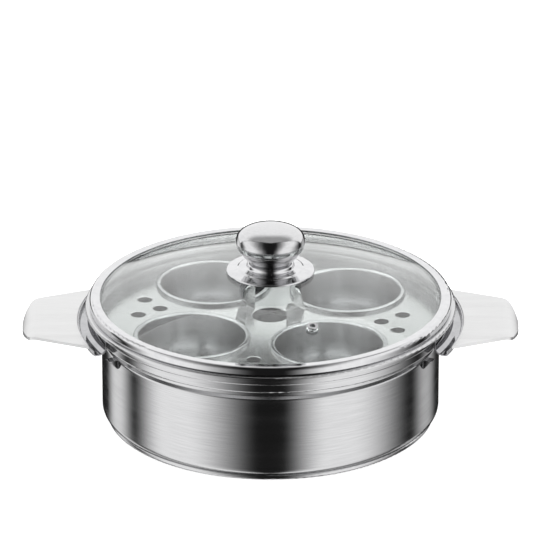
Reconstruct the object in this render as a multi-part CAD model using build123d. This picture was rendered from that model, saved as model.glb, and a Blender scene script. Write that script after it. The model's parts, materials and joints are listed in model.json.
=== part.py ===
from build123d import *
from math import asin, atan, cos, degrees, radians, sin, sqrt, tan
import os

# Egg poacher pan: a steel pan with two handles, a lift-out insert that carries four
# lift-out egg cups, and a glass lid. Sizes are millimetres and angles are degrees.
# +Z is up, the handles lie along X and the origin is the middle of the underside.
# Every piece is made where it lies when the pan is closed.

# Pan body, one drawn sheet
pan_sheet = 1.0
body_radius = 112.4
body_corner = 5.0
wall_bend = 1.5            # where the wall starts to draw in
ledge_height = 66.4        # top of the ledge that carries the insert
ledge_set_in = 3.4         # from the wall's outside in to the edge of the ledge
ledge_edge_round = 0.4
ledge_bend = 1.8
neck_height = 5.0          # straight part of the groove below the ledge
neck_slope = 1.9           # height in which the wall draws in to the groove
neck_bend = 0.8
band_step = 5.8            # from the wall's outside out to the band above the ledge
band_height = 12.6         # from the ledge to the top of the rim
band_joggle = 0.5          # the lower part of the band stands in by this much
band_joggle_height = 6.2
band_joggle_bend = 0.6
rim_flange = 4.8           # from the band out to the edge of the rim
rim_lip = 2.2              # height of the turned-down edge
rim_bend = 0.3
floor_bead_inset = 22.1    # from the wall's outside in to the bead in the floor
floor_bead_width = 4.8
floor_bead_height = 0.5

# Base under the pan: an aluminium disc inside a steel cap
base_thickness = 3.8
base_inset = 3.2           # from the wall's outside in to the side of the base
base_sheet = 0.7
base_foot_bend = 1.5
base_shoulder_bend = 0.9
base_cap_turn = 1.6        # how far the cap's edge leans in at its top
base_core_gap = 0.1
base_core_foot_round = 1.0
base_core_round = 0.3

# Handles: a flat plate with a curled tip, on a curved gutter with a lug below each end
handle_length = 42.0       # from the edge of the rim to the tip
handle_thickness = 2.0
handle_drop = 10.8         # from the top of the rim down to the plate
handle_root_depth = 2.0    # how far the plate runs in past the saddle's ends
handle_root_width = 100.0  # where the plate starts, inside the saddle
handle_tip_width = 62.4
handle_tip_bow = 5.5
handle_corner = 6.0
handle_curl_length = 11.0
handle_curl_drop = 5.0
handle_trim = 3.0          # the tip's outline is cut from a strip this much longer
saddle_sheet = 1.2
saddle_reach = 10.3        # from the band out to the handle plate
saddle_depth = 5.0         # from the top of the handle plate down to the saddle's underside
saddle_top_gap = 3.6       # from the top of the rim down to where the saddle starts
saddle_lip_drop = 0.4      # its outer lip ends this much below the top of the handle plate
saddle_cove = 5.5
saddle_bend = 2.4
saddle_span = 50.0         # angle from end to end
lug_angle = 25.6           # from the handle's own direction
lug_drop = 3.4             # from the saddle's underside down to the lug
lug_width = 6.0
lug_height = 6.5
lug_reach = 6.4
lug_toe = 0.8

# Insert plate
insert_sheet = 0.8
insert_drop = 2.2          # height of the turned-down edge, which stands on the ledge
insert_gap = 3.2           # between its edge and the band
insert_edge_round = 1.2
pattern_turn = -8.5        # how far the insert is turned from the handles
steam_hole_radius = 4.8
steam_edge = 26.1          # from the edge of the plate in to the outer holes
steam_row = 13.4           # from the outer holes in to the inner one
steam_outer_spread = 8.35  # angle from the middle of a group to an outer hole
steam_collar = 2.7         # collar below the plate
centre_hole_radius = 12.1
centre_collar = 3.6
hole_round = 0.5

# Lifting tabs around the centre hole, each on a foot folded under the plate
tab_sheet = 1.2
tab_width = 11.0
tab_top_radius = 4.0
tab_height = 14.5
tab_lean = 13.0
tab_margin = 1.2           # from a cup's rim to the tab that faces it
tab_spread = 40.5
tab_foot = 6.0
tab_bend = 1.5
tab_slot_gap = 0.3
tab_slot_front = 0.9

# Egg cups
cup_count = 4
cup_edge_margin = 10.9     # from the edge of the plate to a cup's rim
cup_spacing = 13.3         # between the rims of two neighbours
cup_sheet = 0.8
cup_rim_width = 3.6
cup_rim_height = 2.4
cup_rim_bend = 0.8
cup_edge_bend = 0.2
cup_depth = 46.4           # below the top of the plate
cup_taper = 7.4
cup_flat = 3.6             # radius of the flat bottom
cup_hole_gap = 0.4

# Lid: domed glass in a steel band that drops inside the pan's rim
glass_thickness = 4.0
dome_rise = 19.5
dome_margin = 0.3          # from the lips in to where the dome starts
dome_blend = 3.0
lid_sheet = 0.6
lid_gap = 0.7              # between the skirt and the inside of the band
lid_skirt = 4.1
lid_roll_height = 5.8
lid_roll_width = 3.7       # from the skirt to the outside of the roll
lid_roll_round = 2.4
lid_roll_heel = 0.8
lid_channel_floor = 0.9
lid_glass_gap = 0.7
lid_lip = 3.2              # how far the lips reach in past the skirt
vent_pitch = 79.0
vent_angle = -69.8
vent_bore = 1.9
vent_tube = 2.7
vent_flange = 3.7
vent_flange_height = 0.7
vent_flange_round = 0.35
vent_bore_round = 0.25
vent_gap = 0.3
seat_gap = 0.04            # between two hard pieces that are clamped together

# Knob: a rosette on the glass and a hollow two-part ball, held by one screw
screw_radius = 2.5
screw_gap = 0.5
screw_head_radius = 4.5
screw_head_height = 3.0
screw_head_round = 1.4
screw_tip_round = 0.5
recess_width = 1.1
recess_length = 5.0
recess_depth = 1.6
knob_sheet = 1.0
rosette_radius = 29.3
rosette_lip = 1.1          # upright edge of the rosette
rosette_lip_bend = 0.9
rosette_rise = 0.9         # from the edge up to the foot of the step
rosette_step_radius = 21.0
rosette_step = 0.9
rosette_step_slope = 1.2
rosette_step_bend = 0.8
rosette_collar_radius = 15.3
rosette_collar = 3.1
rosette_collar_foot = 0.4  # how much higher the collar starts than the step ends
rosette_collar_slope = 0.6
rosette_collar_foot_bend = 1.0
rosette_collar_bend = 1.2
ball_radius = 23.0
ball_lower = 21.0          # half axis of the lower half of the ball, below its flat bottom
ball_lower_power = 1.47    # under 2 it is leaner than an ellipse
ball_upper = 10.7          # half axis of the upper half
ball_upper_power = 2.6     # over 2 it is squarer than an ellipse
ball_bottom = 14.2         # from the widest line down to the flat bottom
ball_seam = 10.0           # from the flat bottom up to the seam
ball_steps = 8             # points along each half of the ball's outline
seam_groove = 0.35
crown_turn = 88.0          # the last two degrees to the top are flat
nut_flats = 8.0
nut_height = 6.0
nut_gap = 0.05
washer_radius = 8.0
washer_thickness = 1.2
gasket_radius = 9.0
gasket_thickness = 1.2

# Places that follow from the sizes above
floor_height = base_thickness + pan_sheet
base_radius = body_radius - base_inset
floor_bead_radius = body_radius - floor_bead_inset
ledge_inner_radius = body_radius - ledge_set_in
ledge_underside = ledge_height - pan_sheet
rim_height = ledge_height + band_height
band_radius = body_radius + band_step
band_inside = band_radius - pan_sheet
rim_radius = band_radius + rim_flange
handle_height = rim_height - handle_drop
handle_reach = rim_radius + handle_length
saddle_radius = band_radius + saddle_reach
saddle_foot = handle_height - saddle_depth
insert_top = ledge_height + insert_drop
insert_radius = band_inside - band_joggle - insert_gap
steam_outer_pitch = insert_radius - steam_edge
steam_inner_pitch = steam_outer_pitch - steam_row
cup_half_angle = sin(radians(180 / cup_count))
cup_room = (insert_radius - cup_edge_margin) * cup_half_angle - cup_spacing / 2
cup_rim_radius = cup_room / (1 + cup_half_angle)
cup_mouth_radius = cup_rim_radius - cup_rim_width
cup_pitch = insert_radius - cup_edge_margin - cup_rim_radius
tab_pitch = cup_pitch - cup_rim_radius - tab_margin
skirt_radius = band_inside - lid_gap
roll_radius = skirt_radius + lid_roll_width
lip_radius = skirt_radius - lid_lip
glass_underside = rim_height + lid_channel_floor
glass_top = glass_underside + glass_thickness
glass_radius = roll_radius - lid_sheet - lid_glass_gap
dome_edge = lip_radius - dome_margin
dome_radius = (dome_edge ** 2 + dome_rise ** 2) / (2 * dome_rise)
dome_centre = glass_top + dome_rise - dome_radius


def dome_height(radius, depth=0.0):
    """Height of the dome at a radius, depth below its outer face."""
    return dome_centre + sqrt((dome_radius - depth) ** 2 - radius ** 2)


def outline(corners):
    """Closed outline through (x, z, corner radius)."""
    points = [(x, z) for x, z, _ in corners]
    return FilletPolyline(*points, radius=[r for _, _, r in corners], close=True)


def bent_sheet(path, thickness):
    """Closed outline of a bent sheet. The path holds (x, z, bend radius) along one
    face, and the other face lies one thickness to the left of it."""
    points = [Vector(x, z) for x, z, _ in path]
    steps = [(b - a).normalized() for a, b in zip(points, points[1:])]
    lefts = [Vector(-step.Y, step.X) for step in steps]
    near = [(x, z, 0.0) for x, z, _ in path]
    far = []
    for i, point in enumerate(points):
        before = lefts[max(i - 1, 0)]
        after = lefts[min(i, len(lefts) - 1)]
        moved = point + (before + after) * (thickness / (1 + before.dot(after)))
        radius = 0.0
        if 0 < i < len(points) - 1:
            bend = path[i][2]
            turns_left = before.cross(after).Z > 0
            radius = max(bend - thickness, 0.0) if turns_left else bend + thickness
            near[i] = path[i]
        far.append((moved.X, moved.Y, radius))
    return outline(near + far[::-1])


def turned(edge):
    """Solid of revolution about Z from a closed outline in radius and height."""
    return revolve(Plane.XZ * make_face(edge), Axis.Z)


def polar(radius, angle, height=0.0):
    return Pos(radius * cos(radians(angle)), radius * sin(radians(angle)), height)


def pattern_angles():
    return [pattern_turn + 360 / cup_count * (i + 0.5) for i in range(cup_count)]


def make_pan_body():
    neck_radius_outside = ledge_inner_radius + pan_sheet
    lower_band = band_radius - band_joggle
    joggle_foot = ledge_underside + band_joggle_height
    slope_top = ledge_underside - neck_height
    rim_underside = rim_height - pan_sheet
    edge_radius = rim_radius - pan_sheet
    wall = [
        (0, base_thickness, 0),
        (body_radius, base_thickness, body_corner),
        (body_radius, slope_top - neck_slope, wall_bend),
        (neck_radius_outside, slope_top, neck_bend),
        (neck_radius_outside, ledge_underside, ledge_edge_round),
        (lower_band, ledge_underside, ledge_bend),
        (lower_band, joggle_foot, band_joggle_bend),
        (band_radius, joggle_foot + band_joggle, band_joggle_bend),
        (band_radius, rim_underside, rim_bend),
        (edge_radius, rim_underside, rim_bend),
        (edge_radius, rim_height - rim_lip, 0),
    ]
    half = floor_bead_width / 2
    left = (floor_bead_radius - half, floor_height)
    right = (floor_bead_radius + half, floor_height)
    crown = (floor_bead_radius, floor_height + floor_bead_height)
    bead = ThreePointArc(left, crown, right) + Line(right, left)
    return turned(bent_sheet(wall, pan_sheet)) + turned(bead)


def base_cap_path():
    shoulder = base_thickness - base_sheet
    return [
        (0, 0, 0),
        (base_radius, 0, base_foot_bend),
        (base_radius, shoulder, base_shoulder_bend),
        (base_radius - base_cap_turn, base_thickness, 0),
    ]


def make_base_core():
    side = base_radius - base_sheet - base_core_gap
    neck = side - base_cap_turn
    return turned(outline([
        (0, base_sheet, 0),
        (side, base_sheet, base_core_foot_round),
        (side, base_thickness - 2 * base_sheet, base_core_round),
        (neck, base_thickness - base_sheet, base_core_round),
        (neck, base_thickness, 0),
        (0, base_thickness, 0),
    ]))


def make_handle():
    """Handle plate on the +X side."""
    curl = 2 * atan(handle_curl_drop / handle_curl_length)
    curl_radius = handle_curl_length / sin(curl)
    curl_turn = degrees(asin((handle_curl_length + handle_trim) / curl_radius))
    bend_start = handle_reach - handle_curl_length
    inner_end = saddle_radius * cos(radians(saddle_span / 2)) - handle_root_depth
    top = Line((inner_end, handle_height), (bend_start, handle_height))
    hub = (bend_start, handle_height - curl_radius)
    upper = CenterArc(hub, curl_radius, 90, -curl_turn)
    lower = CenterArc(hub, curl_radius - handle_thickness, 90, -curl_turn)
    tip = Line(upper @ 1, lower @ 1)
    underside = handle_height - handle_thickness
    bottom = Line((inner_end, underside), (bend_start, underside))
    root = Line((inner_end, handle_height), (inner_end, underside))
    side_view = make_face(top + upper + tip + lower + bottom + root)
    strip = extrude(Plane.XZ * side_view, handle_root_width / 2, both=True)

    half_root = handle_root_width / 2
    half_tip = handle_tip_width / 2
    corner_reach = handle_reach - handle_tip_bow
    plan = make_face(
        Polyline((corner_reach, -half_tip), (inner_end, -half_root), (inner_end, half_root),
                 (corner_reach, half_tip))
        + ThreePointArc((corner_reach, half_tip), (handle_reach, 0), (corner_reach, -half_tip))
    )
    plan = fillet(plan.vertices().group_by(Axis.X)[-1], handle_corner)
    plate = strip & extrude(plan, handle_height)
    return plate - Cylinder(saddle_radius, 3 * handle_height)


def make_saddle():
    """Curved gutter on the +X side: down the band, out to the handle plate and up to it."""
    section = bent_sheet([
        (band_radius, rim_height - saddle_top_gap, 0),
        (band_radius, saddle_foot, saddle_cove),
        (saddle_radius, saddle_foot, saddle_bend),
        (saddle_radius, handle_height - saddle_lip_drop, 0),
    ], saddle_sheet)
    gutter = revolve(Plane.XZ * make_face(section), Axis.Z, saddle_span)
    return Rot(0, 0, -saddle_span / 2) * gutter


def make_lug(angle):
    """Tapered lug below a saddle end, its back on the pan's wall."""
    lug_top = saddle_foot - lug_drop
    lug_foot = lug_top - lug_height
    side = Polyline(
        (ledge_inner_radius, lug_top),
        (body_radius + lug_reach, lug_top),
        (body_radius + lug_toe, lug_foot),
        (ledge_inner_radius, lug_foot),
        close=True,
    )
    lug = extrude(Plane.XZ * make_face(side), lug_width / 2, both=True)
    return Rot(0, 0, angle) * (lug - Cylinder(body_radius, 3 * saddle_foot))


def steam_hole_places():
    places = []
    for i in range(cup_count):
        middle = pattern_turn + 360 / cup_count * i
        places.append(polar(steam_inner_pitch, middle))
        places.append(polar(steam_outer_pitch, middle - steam_outer_spread))
        places.append(polar(steam_outer_pitch, middle + steam_outer_spread))
    return places


def tab_places():
    """Where each tab stands: beside the line through the handles, facing a cup."""
    places = []
    for side in (0, 180):
        for spread, facing in ((-tab_spread, -45), (tab_spread, 45)):
            middle = pattern_turn + side
            places.append(polar(tab_pitch, middle + spread) * Rot(0, 0, middle + facing))
    return places


def make_insert_plate():
    underside = insert_top - insert_sheet
    plate = turned(bent_sheet([
        (insert_radius, ledge_height, 0),
        (insert_radius, insert_top, insert_edge_round),
        (0, insert_top, 0),
    ], insert_sheet))
    holes = [(place, steam_hole_radius, steam_collar) for place in steam_hole_places()]
    holes.append((Pos(0, 0, 0), centre_hole_radius, centre_collar))
    for place, radius, collar in holes:
        tube = Cylinder(radius + insert_sheet, collar, align=(Align.CENTER, Align.CENTER, Align.MAX))
        plate += place * Pos(0, 0, underside) * tube
    for place, radius, collar in holes:
        plate -= place * Pos(0, 0, insert_top) * Cylinder(radius, 3 * (collar + insert_sheet))
    mouths = [
        edge for edge in plate.edges().filter_by(GeomType.CIRCLE).group_by(Axis.Z)[-1]
        if edge.radius < cup_mouth_radius
    ]
    plate = fillet(mouths, hole_round)
    cup_hole = cup_mouth_radius + cup_sheet + cup_hole_gap
    for angle in pattern_angles():
        plate -= polar(cup_pitch, angle, insert_top) * Cylinder(cup_hole, 4 * insert_sheet)
    lean = tan(radians(tab_lean))
    slot_back = tab_sheet + (tab_sheet + insert_sheet) * lean + tab_slot_gap
    slot = Pos((tab_slot_front - slot_back) / 2, 0, insert_top) * Box(
        slot_back + tab_slot_front, tab_width + 2 * tab_slot_gap, 4 * insert_sheet)
    for place in tab_places():
        plate -= place * slot
    return plate


def make_tab(place):
    """Upright tab that leans inwards, with its foot flat under the plate."""
    foot = -insert_sheet - tab_sheet
    lean = tan(radians(tab_lean))
    side_view = bent_sheet([
        (-tab_foot, foot, 0),
        (0, foot, tab_bend),
        ((foot - tab_height) * lean, tab_height, 0),
    ], tab_sheet)
    strip = extrude(Plane.XZ * make_face(side_view), tab_width / 2, both=True)
    arch = tab_height - tab_top_radius
    half = tab_width / 2
    front = make_face(
        Polyline((tab_top_radius, arch), (half, 0), (half, foot), (-half, foot), (-half, 0),
                 (-tab_top_radius, arch))
        + CenterArc((0, arch), tab_top_radius, 0, 180)
    )
    tab = strip & extrude(Plane.YZ * front, tab_height, both=True)
    return Pos(0, 0, insert_top) * place * tab


def make_cup(angle):
    """Cup whose folded rim stands on the plate."""
    mouth = cup_mouth_radius + cup_sheet
    ridge = cup_rim_height - cup_sheet
    bottom_radius = mouth - (cup_depth + ridge) * tan(radians(cup_taper))
    bowl = (bottom_radius - cup_flat) / tan(radians(90 - cup_taper) / 2)
    cup = turned(bent_sheet([
        (0, -cup_depth, 0),
        (bottom_radius, -cup_depth, bowl),
        (mouth, ridge, cup_rim_bend),
        (cup_rim_radius - cup_sheet, ridge, cup_edge_bend),
        (cup_rim_radius - cup_sheet, 0, 0),
    ], cup_sheet))
    return polar(cup_pitch, angle, insert_top) * cup


def vent_place():
    lean = degrees(asin(vent_pitch / dome_radius))
    return Rot(0, 0, vent_angle) * Pos(vent_pitch, 0, dome_height(vent_pitch)) * Rot(0, lean, 0)


def make_lid_glass():
    hole = screw_radius + screw_gap
    inner_radius = dome_radius - glass_thickness
    flat_start = sqrt(inner_radius ** 2 - (glass_underside - dome_centre) ** 2)
    upper = RadiusArc((hole, dome_height(hole)), (dome_edge, glass_top), dome_radius)
    lower = RadiusArc((hole, dome_height(hole, glass_thickness)), (flat_start, glass_underside),
                      inner_radius)
    rim = Polyline((dome_edge, glass_top), (glass_radius, glass_top),
                   (glass_radius, glass_underside), (flat_start, glass_underside))
    bore = Line(upper @ 0, lower @ 0)
    section = make_face(upper + rim + lower + bore)
    bends = section.vertices().filter_by(lambda v: dome_edge - glass_thickness < v.X < glass_radius - 1)
    section = fillet(bends, dome_blend)
    edge = section.vertices().filter_by(lambda v: v.X > glass_radius - 0.1)
    section = fillet(edge, glass_thickness / 3)
    glass = revolve(Plane.XZ * section, Axis.Z)
    return glass - vent_place() * Cylinder(vent_tube + vent_gap, 4 * glass_thickness)


def make_lid_band():
    roll_top = rim_height + lid_roll_height
    skirt_foot = rim_height - lid_skirt
    skirt_inside = skirt_radius - 2 * lid_sheet
    under_lip = glass_underside - lid_sheet
    channel = roll_radius - lid_sheet
    edge = lid_sheet / 3
    return turned(outline([
        (lip_radius, glass_top + lid_sheet, edge),
        (roll_radius, roll_top, lid_roll_round),
        (roll_radius, rim_height, lid_roll_heel),
        (skirt_radius, rim_height, edge),
        (skirt_radius, skirt_foot, lid_sheet * 0.8),
        (skirt_inside, skirt_foot, lid_sheet * 0.8),
        (skirt_inside, under_lip, edge),
        (lip_radius, under_lip, edge),
        (lip_radius, glass_underside, edge),
        (channel, glass_underside, edge),
        (channel, roll_top - lid_sheet, lid_roll_round - lid_sheet),
        (lip_radius, glass_top, edge),
    ]))


def make_vent_grommet():
    below = -glass_thickness - seat_gap
    return vent_place() * turned(outline([
        (vent_bore, vent_flange_height, vent_bore_round),
        (vent_flange, vent_flange_height, vent_flange_round),
        (vent_flange, seat_gap, 0),
        (vent_tube, seat_gap, 0),
        (vent_tube, below, 0),
        (vent_flange, below, 0),
        (vent_flange, below - vent_flange_height, vent_flange_round),
        (vent_bore, below - vent_flange_height, vent_bore_round),
    ]))


rosette_foot = dome_height(rosette_radius - knob_sheet) + seat_gap
rosette_edge = rosette_foot + rosette_lip
step_foot = rosette_edge + rosette_rise
step_top = step_foot + rosette_step
ball_floor = step_top + rosette_collar
ball_middle = ball_floor + ball_bottom
seam_height = ball_floor + ball_seam


def make_knob_base():
    return turned(bent_sheet([
        (rosette_radius, rosette_foot, 0),
        (rosette_radius, rosette_edge, rosette_lip_bend),
        (rosette_step_radius + rosette_step_slope, step_foot, rosette_step_bend),
        (rosette_step_radius, step_top, rosette_step_bend),
        (rosette_collar_radius + rosette_collar_slope, step_top + rosette_collar_foot,
         rosette_collar_foot_bend),
        (rosette_collar_radius, ball_floor, rosette_collar_bend),
        (screw_radius + screw_gap, ball_floor, 0),
    ], knob_sheet))


def ball_side(wall, foot, top):
    """Points up the ball's lower half between two heights, drawn in by the wall."""
    points = []
    for i in range(ball_steps + 1):
        height = foot + (top - foot) * i / ball_steps
        share = (ball_middle - height) / (ball_lower - wall)
        width = (1 - share ** ball_lower_power) ** (1 / ball_lower_power)
        points.append(((ball_radius - wall) * width, height))
    return points


def ball_crown(wall):
    """Points from above the widest line up to the top of the ball."""
    points = []
    for i in range(1, ball_steps + 1):
        turn = radians(crown_turn * i / ball_steps)
        width = (ball_radius - wall) * cos(turn) ** (2 / ball_upper_power)
        height = (ball_upper - wall) * sin(turn) ** (2 / ball_upper_power)
        points.append((width, ball_middle + height))
    return points


def make_knob_cup():
    hole = screw_radius + screw_gap
    inner_floor = ball_floor + knob_sheet
    outside = Spline(*ball_side(0, ball_floor, seam_height - seam_groove))
    inside = Spline(*ball_side(knob_sheet, inner_floor, seam_height))
    floor = Polyline(inside @ 0, (hole, inner_floor), (hole, ball_floor), outside @ 0)
    groove = (outside @ 1).X - seam_groove
    step = Polyline(outside @ 1, (groove, seam_height - seam_groove), (groove, seam_height),
                    inside @ 1)
    return turned(outside + step + inside + floor)


def make_knob_shell():
    outside = Spline(*ball_side(0, seam_height + seam_groove, ball_middle), *ball_crown(0))
    inside = Spline(*ball_side(knob_sheet, seam_height, ball_middle), *ball_crown(knob_sheet))
    top = Polyline(outside @ 1, (0, (outside @ 1).Y), (0, (inside @ 1).Y), inside @ 1)
    groove = (outside @ 0).X - seam_groove
    step = Polyline(inside @ 0, (groove, seam_height), (groove, seam_height + seam_groove),
                    outside @ 0)
    return turned(outside + top + inside + step)


def make_knob_nut():
    hexagon = RegularPolygon(nut_flats / 2, 6, major_radius=False)
    nut = extrude(Pos(0, 0, ball_floor + knob_sheet) * hexagon, nut_height)
    return nut - Pos(0, 0, ball_floor) * Cylinder(screw_radius + nut_gap, 4 * nut_height)


gasket_top = dome_height(gasket_radius, glass_thickness) - seat_gap
washer_top = gasket_top - gasket_thickness
head_top = washer_top - washer_thickness


def ring(outer, inner, top, thickness):
    face = Circle(outer) - Circle(inner)
    return extrude(Pos(0, 0, top - thickness) * face, thickness)


def make_knob_screw():
    head_foot = head_top - screw_head_height
    tip = ball_floor + knob_sheet + nut_height
    shape = turned(outline([
        (0, head_foot, 0),
        (screw_head_radius, head_foot, screw_head_round),
        (screw_head_radius, head_top, 0),
        (screw_radius, head_top, 0),
        (screw_radius, tip, screw_tip_round),
        (0, tip, 0),
    ]))
    for turn in (0, 90):
        bar = Box(recess_length, recess_width, 2 * recess_depth)
        shape -= Pos(0, 0, head_foot) * Rot(0, 0, turn) * bar
    return shape


def all_pieces():
    hole = screw_radius + screw_gap
    pieces = {
        "pan_body": make_pan_body(),
        "base_core": make_base_core(),
        "base_cap": turned(bent_sheet(base_cap_path(), base_sheet)),
        "insert_plate": make_insert_plate(),
        "lid_glass": make_lid_glass(),
        "lid_band": make_lid_band(),
        "vent_grommet": make_vent_grommet(),
        "knob_base": make_knob_base(),
        "knob_cup": make_knob_cup(),
        "knob_shell": make_knob_shell(),
        "knob_nut": make_knob_nut(),
        "knob_screw": make_knob_screw(),
        "knob_gasket": ring(gasket_radius, hole, gasket_top, gasket_thickness),
        "knob_washer": ring(washer_radius, hole, washer_top, washer_thickness),
    }
    handle = make_handle()
    saddle = make_saddle()
    for side, turn in (("right", 0), ("left", 180)):
        pieces[f"handle_{side}"] = Rot(0, 0, turn) * handle
        pieces[f"handle_saddle_{side}"] = Rot(0, 0, turn) * saddle
    for place, angle in (("front_right", -lug_angle), ("back_right", lug_angle),
                         ("front_left", 180 + lug_angle), ("back_left", 180 - lug_angle)):
        pieces[f"handle_lug_{place}"] = make_lug(angle)
    corners = ("front_right", "back_right", "back_left", "front_left")
    for corner, place in zip(corners, tab_places()):
        pieces[f"lift_tab_{corner}"] = make_tab(place)
    for corner, angle in zip(("back_right", "back_left", "front_left", "front_right"),
                             pattern_angles()):
        pieces[f"egg_cup_{corner}"] = make_cup(angle)
    return pieces


os.makedirs("parts", exist_ok=True)
for name, piece in all_pieces().items():
    export_step(piece, f"parts/{name}.step")
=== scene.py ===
"""Egg poacher pan in bare steel and clear glass, in a plain white studio."""

import json
from math import cos, radians, sin

import bmesh
import bpy
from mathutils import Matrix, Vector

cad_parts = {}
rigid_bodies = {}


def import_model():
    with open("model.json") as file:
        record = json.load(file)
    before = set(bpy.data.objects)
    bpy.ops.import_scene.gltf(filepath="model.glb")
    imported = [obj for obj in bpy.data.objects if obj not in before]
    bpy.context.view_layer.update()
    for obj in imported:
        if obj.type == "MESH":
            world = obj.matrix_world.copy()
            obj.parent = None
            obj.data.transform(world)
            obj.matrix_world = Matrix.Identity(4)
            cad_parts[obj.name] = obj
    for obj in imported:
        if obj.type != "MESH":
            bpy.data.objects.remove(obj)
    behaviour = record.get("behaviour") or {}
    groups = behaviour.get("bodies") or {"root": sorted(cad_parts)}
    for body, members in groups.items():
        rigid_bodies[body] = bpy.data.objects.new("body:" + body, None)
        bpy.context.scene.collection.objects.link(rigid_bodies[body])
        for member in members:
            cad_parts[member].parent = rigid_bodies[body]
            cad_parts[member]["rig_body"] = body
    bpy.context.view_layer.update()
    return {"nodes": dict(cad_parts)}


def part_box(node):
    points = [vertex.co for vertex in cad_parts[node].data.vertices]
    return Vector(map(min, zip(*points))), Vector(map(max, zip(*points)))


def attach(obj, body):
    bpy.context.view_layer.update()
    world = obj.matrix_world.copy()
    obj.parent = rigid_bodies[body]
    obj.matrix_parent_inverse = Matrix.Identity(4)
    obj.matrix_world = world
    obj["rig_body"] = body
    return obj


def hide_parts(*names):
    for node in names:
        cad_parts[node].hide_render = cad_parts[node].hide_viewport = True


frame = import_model()

MM = 0.001

# Camera: where the photograph was taken from, found from its circles
CAMERA_DISTANCE = 3.5
CAMERA_ELEVATION = 23.05
CAMERA_LENS = 352.3          # millimetres, on a sensor 36 wide
LOOK_HEIGHT = 102.33 * MM
FRAME_PIXELS = 540
CENTRE_PIXEL = 270.5         # where the lens axis meets the picture
FARTHEST = 200.0             # metres that the camera sees

# Studio: azimuth in degrees from the front, positive to the camera's right.
# Each soft box goes from dark to bright and back to dark: (dark, bright, bright, dark, level)
SOFT_BOXES = [
    (8, 40, 56, 112, 1.58),
    (112, 130, 134, 156, 0.77),
    (-108, -78, -60, -8, 1.6),
    (-150, -132, -126, -106, 1.28),
]
GAP_LEVEL = 0.018            # what is left of the light between the boxes
BACK_LEVEL = 1.6             # white screen behind the object, from the floor up to the ceiling
CEILING_LEVEL = 0.6          # where that screen has faded, above
SCREEN_FOOT = (-0.02, 0.05)  # upward part of a ray where the screen starts, and where it is whole
SCREEN_FADE = (0.62, 0.85)   # the same where it starts to fade, and where it has
SCREEN_EDGE = 0.03           # half the width of its soft front edge
SCREEN_WRAP = 0.45           # how far that edge draws back at the sides
SEAM_DARKNESS = 0.92         # of the narrow gap between the screen and the boxes
FLOOR_LIGHT = 2.6            # watts for each square metre of floor
FLOOR_LIGHT_SPREAD = 100     # degrees
FLOOR_GLOW = 0.62            # the floor is a lit table, so shadows on it stay faint
FLOOR_SIZE = 60.0

# Rounded edges of the sheet parts
HANDLE_EDGE = 0.45 * MM
TAB_EDGE = 0.25 * MM
LUG_EDGE = 0.5 * MM
SADDLE_EDGE = 0.3 * MM
EDGE_STEPS = 3
SHARP_ANGLE = 35             # degrees, from which an edge is rounded
FLAT_ANGLE = 0.5             # degrees, below which two faces are one
WELD_GAP = 0.001 * MM

# Kinds of noise, and the part of its range that most of it lies in
FINE = {"Detail": 3.0, "Roughness": 0.55}
SLOW = {"Detail": 1.0, "Roughness": 0.55}
PITTED = {"Detail": 4.0, "Roughness": 0.7}
NOISE_MIDDLE = (0.3, 0.7)
BAND_OF_LINES = 1 / 0.13     # brush lines in one band of equal gloss
PATCH_OF_LINES = 1 / 0.09    # satin lines in one patch of equal gloss


def linear(hex_colour):
    """Linear RGBA of an sRGB hex colour."""
    channels = [int(hex_colour[i:i + 2], 16) / 255 for i in (1, 3, 5)]
    return [c / 12.92 if c <= 0.04045 else ((c + 0.055) / 1.055) ** 2.4 for c in channels] + [1.0]


def add(tree, kind, inputs=None, **settings):
    """One node with its settings. An input is a value, a socket, or a node for its result."""
    node = tree.nodes.new(kind)
    for name, value in settings.items():
        setattr(node, name, value)
    for socket, source in (inputs or {}).items():
        if isinstance(source, bpy.types.Node):
            source = next(output for output in source.outputs if output.enabled)
        if isinstance(source, bpy.types.NodeSocket):
            tree.links.new(source, node.inputs[socket])
        else:
            node.inputs[socket].default_value = source
    return node


def material(name, shader_inputs, surface):
    """Principled material. surface(tree) builds its patterns and returns more shader inputs."""
    made = bpy.data.materials.new(name)
    made.use_nodes = True
    tree = made.node_tree
    tree.nodes.clear()
    shader = add(tree, "ShaderNodeBsdfPrincipled", {**shader_inputs, **surface(tree)})
    add(tree, "ShaderNodeOutputMaterial", {"Surface": shader})
    return made


def worn(tree, gloss, roughness, relief, depth, strength=1.0, tint=None, colours=None):
    """Shader inputs of a finish, each from its pattern.

    gloss runs over the roughness, relief is a bump whose depth is a real height in metres,
    and tint runs over two hex colours."""
    low, high = NOISE_MIDDLE
    inputs = {
        "Roughness": add(
            tree, "ShaderNodeMapRange",
            {
                "Value": gloss, "From Min": low, "From Max": high,
                "To Min": roughness[0], "To Max": roughness[1],
            },
        ),
        "Normal": add(
            tree, "ShaderNodeBump", {"Height": relief, "Distance": depth, "Strength": strength}
        ),
    }
    if tint:
        ramp = add(tree, "ShaderNodeValToRGB", {"Fac": tint})
        for stop, place, colour in zip(ramp.color_ramp.elements, NOISE_MIDDLE, colours):
            stop.position = place
            stop.color = linear(colour)
        inputs["Base Color"] = ramp
    return inputs


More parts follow.
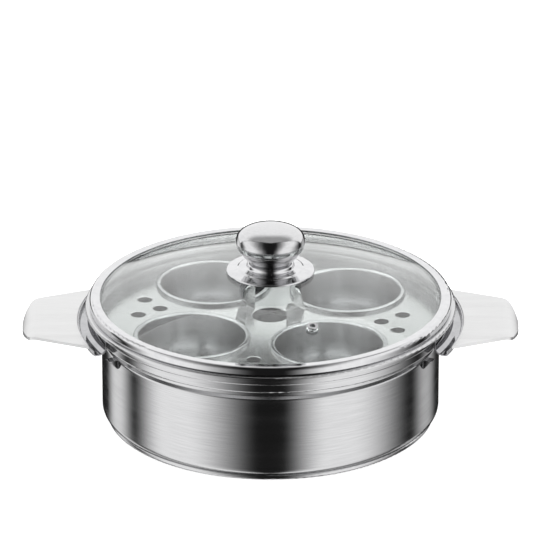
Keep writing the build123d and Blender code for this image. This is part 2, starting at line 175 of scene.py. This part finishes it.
def turned_lines(tree, middle, line, strokes):
    """Brush lines that run round an upright axis, on walls and floors alike.

    line is the lines' spacing in metres and strokes how often a line changes in a turn.
    Returns the pattern's place and the direction across the lines, for stretched highlights."""
    place = add(
        tree, "ShaderNodeMapping",
        {
            "Vector": add(tree, "ShaderNodeTexCoord").outputs["Object"],
            "Location": (-middle[0], -middle[1], 0.0),
        },
    )
    flat = add(tree, "ShaderNodeVectorMath", {0: place, 1: (1.0, 1.0, 0.0)}, operation="MULTIPLY")
    outward = add(tree, "ShaderNodeVectorMath", {0: flat}, operation="NORMALIZE")
    radius = add(tree, "ShaderNodeVectorMath", {0: flat}, operation="LENGTH")
    height = add(tree, "ShaderNodeSeparateXYZ", {"Vector": place}).outputs["Z"]
    profile = add(tree, "ShaderNodeMath", {0: radius, 1: height}, operation="ADD")
    across = add(tree, "ShaderNodeMath", {0: profile, 1: 1 / line}, operation="MULTIPLY")
    around = add(tree, "ShaderNodeVectorMath", {0: outward, "Scale": strokes}, operation="SCALE")
    rings = add(tree, "ShaderNodeCombineXYZ", {"Z": across})
    lines = add(tree, "ShaderNodeVectorMath", {0: around, 1: rings}, operation="ADD")
    along = add(
        tree, "ShaderNodeVectorMath", {0: (0.0, 0.0, 1.0), 1: outward}, operation="CROSS_PRODUCT"
    )
    face = add(tree, "ShaderNodeNewGeometry").outputs["Normal"]
    up_the_wall = add(
        tree, "ShaderNodeVectorMath", {0: along, 1: face}, operation="CROSS_PRODUCT"
    )
    return lines, up_the_wall


def brushed_round(name, middle, colours, line, strokes, roughness, depth, stretch):
    """Stainless steel brushed on a lathe: fine rings, and highlights stretched across them."""

    def surface(tree):
        lines, across = turned_lines(tree, middle, line, strokes)
        rings = add(tree, "ShaderNodeTexNoise", {"Vector": lines, "Scale": 1.0, **FINE})
        bands = add(
            tree, "ShaderNodeTexNoise", {"Vector": lines, "Scale": 1 / BAND_OF_LINES, **SLOW}
        )
        finish = worn(tree, bands, roughness, rings, depth, tint=rings, colours=colours)
        return {**finish, "Tangent": across}

    return material(name, {"Metallic": 1.0, "Anisotropic": stretch}, surface)


def mirror_steel(name, colours):
    """Stainless steel polished on a wheel: a clear mirror, with slight waves and a thin haze."""

    def surface(tree):
        place = add(tree, "ShaderNodeTexCoord").outputs["Object"]
        waves = add(tree, "ShaderNodeTexNoise", {"Vector": place, "Scale": 1 / (22 * MM), **SLOW})
        haze = add(tree, "ShaderNodeTexNoise", {"Vector": place, "Scale": 1 / (7 * MM), **PITTED})
        return worn(tree, haze, (0.035, 0.09), waves, 0.02 * MM, 0.6, tint=haze, colours=colours)

    return material(name, {"Metallic": 1.0}, surface)


def satin_steel(name, colours, grain, roughness, depth):
    """Stainless sheet with a belt-ground satin: short fine lines one way, soft reflections.

    grain is the size of a line along X, Y and Z, in metres."""

    def surface(tree):
        place = add(
            tree, "ShaderNodeMapping",
            {
                "Vector": add(tree, "ShaderNodeTexCoord").outputs["Object"],
                "Scale": tuple(1 / size for size in grain),
            },
        )
        lines = add(tree, "ShaderNodeTexNoise", {"Vector": place, "Scale": 1.0, **FINE})
        patches = add(
            tree, "ShaderNodeTexNoise", {"Vector": place, "Scale": 1 / PATCH_OF_LINES, **SLOW}
        )
        return worn(tree, patches, roughness, lines, depth, tint=lines, colours=colours)

    return material(name, {"Metallic": 1.0}, surface)


def tempered_glass():
    """Toughened soda-lime glass, pressed in a mould: clear, with slow waves in its faces."""

    def surface(tree):
        place = add(tree, "ShaderNodeTexCoord").outputs["Object"]
        waves = add(
            tree, "ShaderNodeTexNoise",
            {"Vector": place, "Scale": 1 / (45 * MM), "Detail": 0.0, "Roughness": 0.55},
        )
        smears = add(tree, "ShaderNodeTexNoise", {"Vector": place, "Scale": 1 / (18 * MM), **FINE})
        return worn(tree, smears, (0.0, 0.012), waves, 0.03 * MM, 0.5)

    return material(
        "tempered_soda_lime_glass",
        {"Base Color": linear("#F0F3F2"), "Transmission Weight": 1.0, "IOR": 1.52},
        surface,
    )


def pressed_aluminium():
    """Aluminium disc bonded under the floor: dull grey, faintly pitted."""

    def surface(tree):
        place = add(tree, "ShaderNodeTexCoord").outputs["Object"]
        pits = add(
            tree, "ShaderNodeTexNoise", {"Vector": place, "Scale": 1 / (0.6 * MM), **PITTED}
        )
        return worn(
            tree, pits, (0.38, 0.5), pits, 0.02 * MM, tint=pits, colours=("#BDBDBF", "#D2D2D3")
        )

    return material("pressed_aluminium", {"Metallic": 1.0}, surface)


def silicone_rubber():
    """Moulded silicone: milky and matt, with a soft sheen from mould polish."""

    def surface(tree):
        place = add(tree, "ShaderNodeTexCoord").outputs["Object"]
        cloud = add(
            tree, "ShaderNodeTexNoise",
            {"Vector": place, "Scale": 1 / (2.5 * MM), "Detail": 2.0, "Roughness": 0.55},
        )
        return worn(
            tree, cloud, (0.42, 0.55), cloud, 0.01 * MM, tint=cloud, colours=("#D3D2CC", "#E4E3DE")
        )

    return material(
        "moulded_silicone",
        {"IOR": 1.41, "Subsurface Weight": 0.3, "Subsurface Scale": 1.5 * MM},
        surface,
    )


def middle_of(node):
    """Where the upright axis of a round node is, in X and Y."""
    low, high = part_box(node)
    return ((low.x + high.x) / 2, (low.y + high.y) / 2)


def dress(nodes, finish):
    """Gives CAD nodes a finish."""
    for name in nodes:
        mesh = frame["nodes"][name].data
        mesh.materials.clear()
        mesh.materials.append(finish)


def softened(node, edge, finish):
    """Stands for a CAD node: its merged copy with rounded edges."""
    shape = bmesh.new()
    shape.from_mesh(frame["nodes"][node].data)
    bmesh.ops.remove_doubles(shape, verts=shape.verts, dist=WELD_GAP)
    bmesh.ops.dissolve_limit(
        shape, angle_limit=radians(FLAT_ANGLE), verts=shape.verts, edges=shape.edges
    )
    mesh = bpy.data.meshes.new(node + "_rounded")
    shape.to_mesh(mesh)
    shape.free()
    if "custom_normal" in mesh.attributes:
        mesh.attributes.remove(mesh.attributes["custom_normal"])
    mesh.materials.clear()
    mesh.materials.append(finish)
    mesh.shade_smooth()
    piece = bpy.data.objects.new(node + "_rounded", mesh)
    bpy.context.scene.collection.objects.link(piece)
    rounding = piece.modifiers.new("rounded_edges", "BEVEL")
    rounding.width = edge
    rounding.segments = EDGE_STEPS
    rounding.limit_method = "ANGLE"
    rounding.angle_limit = radians(SHARP_ANGLE)
    flats = piece.modifiers.new("flat_faces", "WEIGHTED_NORMAL")
    flats.keep_sharp = True
    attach(piece, frame["nodes"][node]["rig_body"])
    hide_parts(node)


def ring_of_boxes(tree, azimuth):
    """Light of the soft boxes, by azimuth."""
    ring = GAP_LEVEL
    for dark_from, bright_from, bright_to, dark_to, level in SOFT_BOXES:
        rise = add(
            tree, "ShaderNodeMapRange",
            {"Value": azimuth, "From Min": dark_from, "From Max": bright_from},
            interpolation_type="SMOOTHSTEP",
        )
        fall = add(
            tree, "ShaderNodeMapRange",
            {
                "Value": azimuth, "From Min": bright_to, "From Max": dark_to,
                "To Min": 1.0, "To Max": 0.0,
            },
            interpolation_type="SMOOTHSTEP",
        )
        box = add(tree, "ShaderNodeMath", {0: rise, 1: fall}, operation="MULTIPLY")
        ring = add(tree, "ShaderNodeMath", {0: box, 1: level, 2: ring}, operation="MULTIPLY_ADD")
    return ring


def back_screen(tree, across, back, up):
    """Light of the screen, and how far a ray is inside its soft edge, from 0 to 1."""
    screen = add(
        tree, "ShaderNodeMapRange",
        {
            "Value": up, "From Min": SCREEN_FADE[0], "From Max": SCREEN_FADE[1],
            "To Min": BACK_LEVEL, "To Max": CEILING_LEVEL,
        },
        interpolation_type="SMOOTHSTEP",
    )
    aside = add(tree, "ShaderNodeMath", {0: across}, operation="ABSOLUTE")
    behind = add(
        tree, "ShaderNodeMath", {0: aside, 1: -SCREEN_WRAP, 2: back}, operation="MULTIPLY_ADD"
    )
    foot = add(
        tree, "ShaderNodeMapRange",
        {"Value": up, "From Min": SCREEN_FOOT[0], "From Max": SCREEN_FOOT[1]},
        interpolation_type="SMOOTHSTEP",
    )
    side = add(
        tree, "ShaderNodeMapRange",
        {"Value": behind, "From Min": -SCREEN_EDGE, "From Max": SCREEN_EDGE},
        interpolation_type="SMOOTHSTEP",
    )
    inside = add(tree, "ShaderNodeMath", {0: foot, 1: side}, operation="MULTIPLY")
    return screen, inside


def studio():
    """Soft boxes all round, and a white screen behind the object that rises to the ceiling.

    A steel wall seen from above mirrors what lies below the horizon, so the boxes run down
    past it. In front they run up to the ceiling too."""
    world = bpy.data.worlds.new("white_studio")
    bpy.context.scene.world = world
    world.use_nodes = True
    tree = world.node_tree
    tree.nodes.clear()
    ray = add(tree, "ShaderNodeTexCoord").outputs["Generated"]
    across, back, up = add(tree, "ShaderNodeSeparateXYZ", {"Vector": ray}).outputs
    above = add(tree, "ShaderNodeMath", {0: up, 1: 0.0}, operation="MAXIMUM")
    front = add(tree, "ShaderNodeMath", {0: above, 1: back}, operation="SUBTRACT")
    turn = add(tree, "ShaderNodeMath", {0: across, 1: front}, operation="ARCTAN2")
    azimuth = add(tree, "ShaderNodeMath", {0: turn}, operation="DEGREES")
    ring = ring_of_boxes(tree, azimuth)
    screen, inside = back_screen(tree, across, back, up)

    # The gap is darkest half way through the screen's soft edge, where seam is a quarter
    outside = add(tree, "ShaderNodeMath", {0: 1.0, 1: inside}, operation="SUBTRACT")
    seam = add(tree, "ShaderNodeMath", {0: inside, 1: outside}, operation="MULTIPLY")
    unlit = add(
        tree, "ShaderNodeMath", {0: seam, 1: -4.0 * SEAM_DARKNESS, 2: 1.0},
        operation="MULTIPLY_ADD",
    )
    joined = add(tree, "ShaderNodeMix", {"Factor": inside, "A": ring, "B": screen})
    lit = add(tree, "ShaderNodeMath", {0: joined, 1: unlit}, operation="MULTIPLY")
    straight = add(tree, "ShaderNodeLightPath").outputs["Is Camera Ray"]
    seen = add(tree, "ShaderNodeMix", {"Factor": straight, "A": lit, "B": 1.0})
    background = add(tree, "ShaderNodeBackground", {"Strength": seen})
    add(tree, "ShaderNodeOutputWorld", {"Surface": background})


def floor():
    """Pale floor. Steel doesn't mirror it, so the soft boxes show in the walls."""
    bpy.ops.mesh.primitive_plane_add(size=FLOOR_SIZE)
    ground = bpy.context.object
    ground.name = "studio_floor"
    paper = bpy.data.materials.new("white_paper")
    paper.use_nodes = True
    shader = paper.node_tree.nodes["Principled BSDF"]
    shader.inputs["Base Color"].default_value = linear("#EDEDED")
    shader.inputs["Roughness"].default_value = 1.0
    shader.inputs["Specular IOR Level"].default_value = 0.0
    shader.inputs["Emission Color"].default_value = linear("#FFFFFF")
    shader.inputs["Emission Strength"].default_value = FLOOR_GLOW
    ground.data.materials.append(paper)
    ground.visible_glossy = False
    ground.visible_shadow = False


def floor_light():
    """Even light from above that whitens the floor. Steel doesn't mirror it."""
    data = bpy.data.lights.new("floor_light", "SUN")
    data.energy = FLOOR_LIGHT
    data.angle = radians(FLOOR_LIGHT_SPREAD)
    above = bpy.data.objects.new("floor_light", data)
    above.visible_glossy = False
    bpy.context.scene.collection.objects.link(above)


def camera():
    """Looks down at the object's middle from the front."""
    elevation = radians(CAMERA_ELEVATION)
    data = bpy.data.cameras.new("photo_camera")
    data.lens = CAMERA_LENS
    data.shift_x = (FRAME_PIXELS / 2 - CENTRE_PIXEL) / FRAME_PIXELS
    data.clip_end = FARTHEST
    eye = bpy.data.objects.new("photo_camera", data)
    eye.location = (
        0.0,
        -CAMERA_DISTANCE * cos(elevation),
        LOOK_HEIGHT + CAMERA_DISTANCE * sin(elevation),
    )
    eye.rotation_euler = (radians(90) - elevation, 0.0, 0.0)
    bpy.context.scene.collection.objects.link(eye)
    bpy.context.scene.camera = eye


studio()
floor()
floor_light()
camera()
bpy.context.scene.view_settings.view_transform = "Standard"

# Pan: spun and brushed on the lathe. On all the brushed pieces the real lines are about
# 0.1 mm apart, and are drawn 0.5 to 0.7 mm apart so that they show at the picture's size.
pan_steel = brushed_round(
    "brushed_stainless_pan", middle_of("pan_body"), ("#BEBEBF", "#C9C9CA"),
    line=0.7 * MM, strokes=5.0, roughness=(0.13, 0.19), depth=0.008 * MM, stretch=0.6,
)
dress(["pan_body", "base_cap"], pan_steel)
dress(["base_core"], pressed_aluminium())

# Handles: pale satin, ground lengthways. Plate: the same with a finer, brighter grain.
handle_steel = satin_steel(
    "satin_stainless_handle", ("#D3D3D3", "#D9D9D9"),
    grain=(9 * MM, 0.5 * MM, 0.5 * MM), roughness=(0.3, 0.38), depth=0.004 * MM,
)
plate_steel = satin_steel(
    "satin_stainless_plate", ("#D4D4D4", "#DCDCDC"),
    grain=(5 * MM, 0.5 * MM, 0.5 * MM), roughness=(0.2, 0.26), depth=0.002 * MM,
)
# Small parts and the lid's trim: bright mirror. Saddles: drawn sheet in the same mirror, with a
# darker colour that is painted shade.
polished_steel = mirror_steel("mirror_polished_stainless", ("#C8C8CA", "#D2D2D3"))
saddle_steel_painted_shade = mirror_steel("stainless_saddle_painted_shade", ("#A2A2A4", "#B2B2B4"))
for side in ("left", "right"):
    softened("handle_" + side, HANDLE_EDGE, handle_steel)
    softened("handle_saddle_" + side, SADDLE_EDGE, saddle_steel_painted_shade)
corners = ["front_left", "front_right", "back_left", "back_right"]
for corner in corners:
    softened("handle_lug_" + corner, LUG_EDGE, polished_steel)
    softened("lift_tab_" + corner, TAB_EDGE, plate_steel)
dress(["insert_plate"], plate_steel)

# Cups: brushed as the pan is, each round its own middle
for corner in corners:
    cup = "egg_cup_" + corner
    cup_steel = brushed_round(
        "brushed_stainless_" + cup, middle_of(cup), ("#BCBCBD", "#C6C6C7"),
        line=0.6 * MM, strokes=5.0, roughness=(0.13, 0.2), depth=0.008 * MM, stretch=0.5,
    )
    dress([cup], cup_steel)

# Knob: spun and nearly polished, so its rings are faint
knob_steel = brushed_round(
    "spun_stainless_knob", middle_of("knob_shell"), ("#C4C4C5", "#CDCDCE"),
    line=0.5 * MM, strokes=4.0, roughness=(0.07, 0.12), depth=0.005 * MM, stretch=0.4,
)
dress(["knob_shell", "knob_cup"], knob_steel)
dress(["knob_base", "lid_band", "vent_grommet"], polished_steel)
dress(["lid_glass"], tempered_glass())

# Screw, nut and washer: plain as turned, a dull even grey
plain_steel = satin_steel(
    "machined_stainless", ("#B4B4B6", "#C4C4C5"),
    grain=(0.4 * MM, 0.4 * MM, 0.4 * MM), roughness=(0.25, 0.35), depth=0.006 * MM,
)
dress(["knob_nut", "knob_screw", "knob_washer"], plain_steel)
dress(["knob_gasket"], silicone_rubber())
